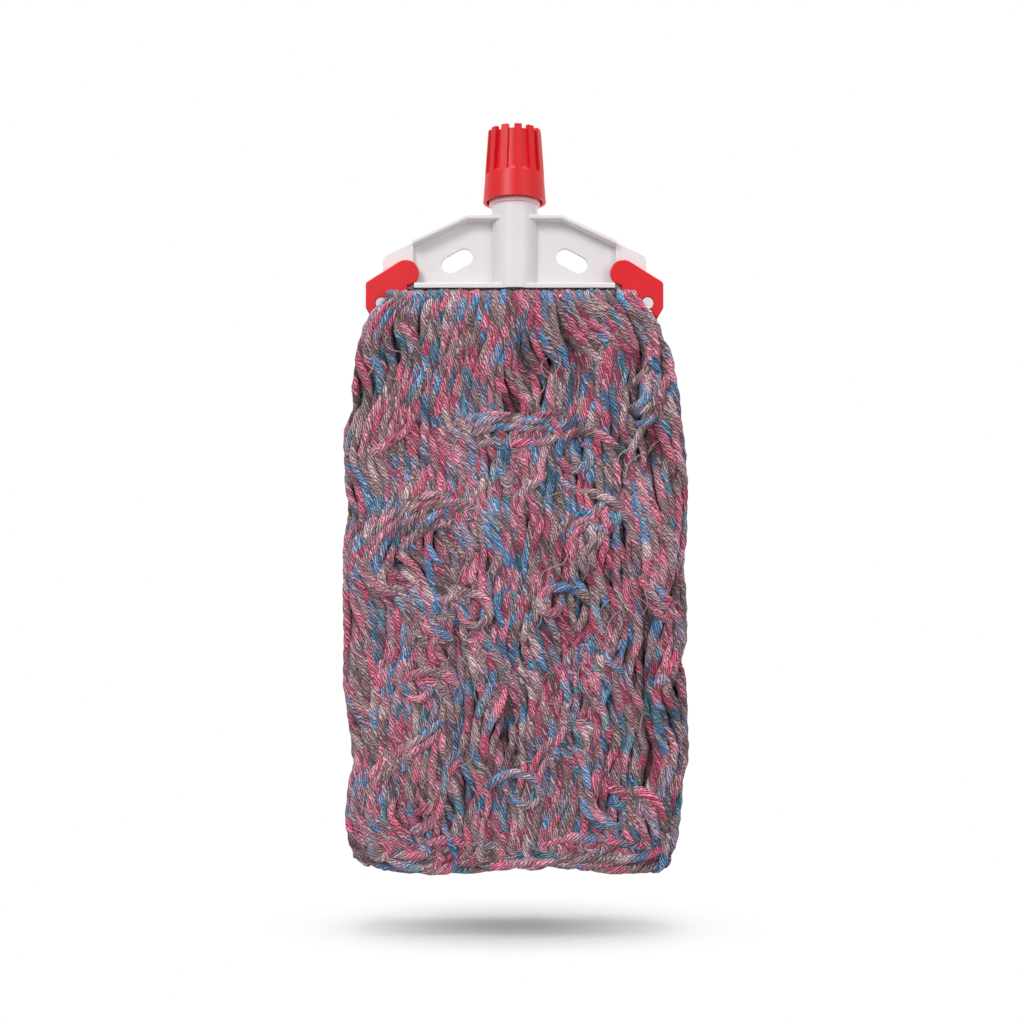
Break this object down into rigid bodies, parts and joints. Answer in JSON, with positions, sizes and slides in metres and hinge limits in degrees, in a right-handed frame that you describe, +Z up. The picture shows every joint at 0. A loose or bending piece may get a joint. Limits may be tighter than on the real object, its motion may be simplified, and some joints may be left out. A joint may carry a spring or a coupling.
{
  "type": "string mop head",
  "caption": "Wet mop head: looped cotton yarn folded over a bar that two swinging red clips hold under a white frame, whose ribbed locking collar grips a round pole.",
  "frame": {"origin": "centre of the pole socket's mouth, on the pole's axis", "axes": "+Z up the pole, +X along the frame to the viewer's right, -Y towards the viewer"},
  "size_m": [0.2308, 0.05, 0.4975],
  "materials": {
    "white_frame": "moulded white plastic, soft gloss",
    "red_collar": "moulded red plastic, glossy",
    "natural_collet": "natural plastic, unpolished",
    "red_clip": "moulded red plastic, glossy",
    "red_pin": "moulded red plastic",
    "white_bar": "moulded white plastic",
    "band_tape": "woven tape",
    "seam_thread": "twisted sewing thread",
    "yarn": "twisted multi-colour cotton yarn"
  },
  "bodies": {
    "frame": {"socket_frame": "white_frame", "gripper_bar": "white_bar", "headband": "band_tape", "yarn_fold": "yarn", "front_seam_thread": "seam_thread", "back_seam_thread": "seam_thread"},
    "collet": {"split_collet": "natural_collet"},
    "collar": {"locking_collar": "red_collar"},
    "left_clip": {"left_end_clip": "red_clip", "left_pivot_pin": "red_pin"},
    "right_clip": {"right_end_clip": "red_clip", "right_pivot_pin": "red_pin"},
    "front_yarn": {"front_hank_1": "yarn", "front_hank_2": "yarn", "front_hank_3": "yarn", "front_hank_4": "yarn", "front_hank_5": "yarn", "front_hank_6": "yarn"},
    "back_yarn": {"back_hank_1": "yarn", "back_hank_2": "yarn", "back_hank_3": "yarn", "back_hank_4": "yarn", "back_hank_5": "yarn", "back_hank_6": "yarn"}
  },
  "joints": [
    {"name": "collet_slide", "type": "slide", "parent": "frame", "child": "collet", "axis": [0, 0, 1], "range_m": [0, 0.004]},
    {"name": "collar_turn", "type": "hinge", "parent": "collet", "child": "collar", "pos_m": [0, 0, 0], "axis": [0, 0, 1], "range_deg": [0, 360.1]},
    {"name": "left_clip_swing", "type": "hinge", "parent": "frame", "child": "left_clip", "pos_m": [-0.072, 0, -0.0717], "axis": [0, 1, 0], "range_deg": [0, 75]},
    {"name": "right_clip_swing", "type": "hinge", "parent": "frame", "child": "right_clip", "pos_m": [0.072, 0, -0.0717], "axis": [0, -1, 0], "range_deg": [0, 75]},
    {"name": "front_yarn_swing", "type": "hinge", "parent": "frame", "child": "front_yarn", "pos_m": [0, -0.0152, -0.0826], "axis": [-1, 0, 0], "range_deg": [0, 70]},
    {"name": "back_yarn_swing", "type": "hinge", "parent": "frame", "child": "back_yarn", "pos_m": [0, 0.0152, -0.0826], "axis": [1, 0, 0], "range_deg": [0, 70]}
  ],
  "couplings": [
    {"joint": "collar_turn", "follows": "collet_slide", "rad_per_m": 1570.8}
  ]
}
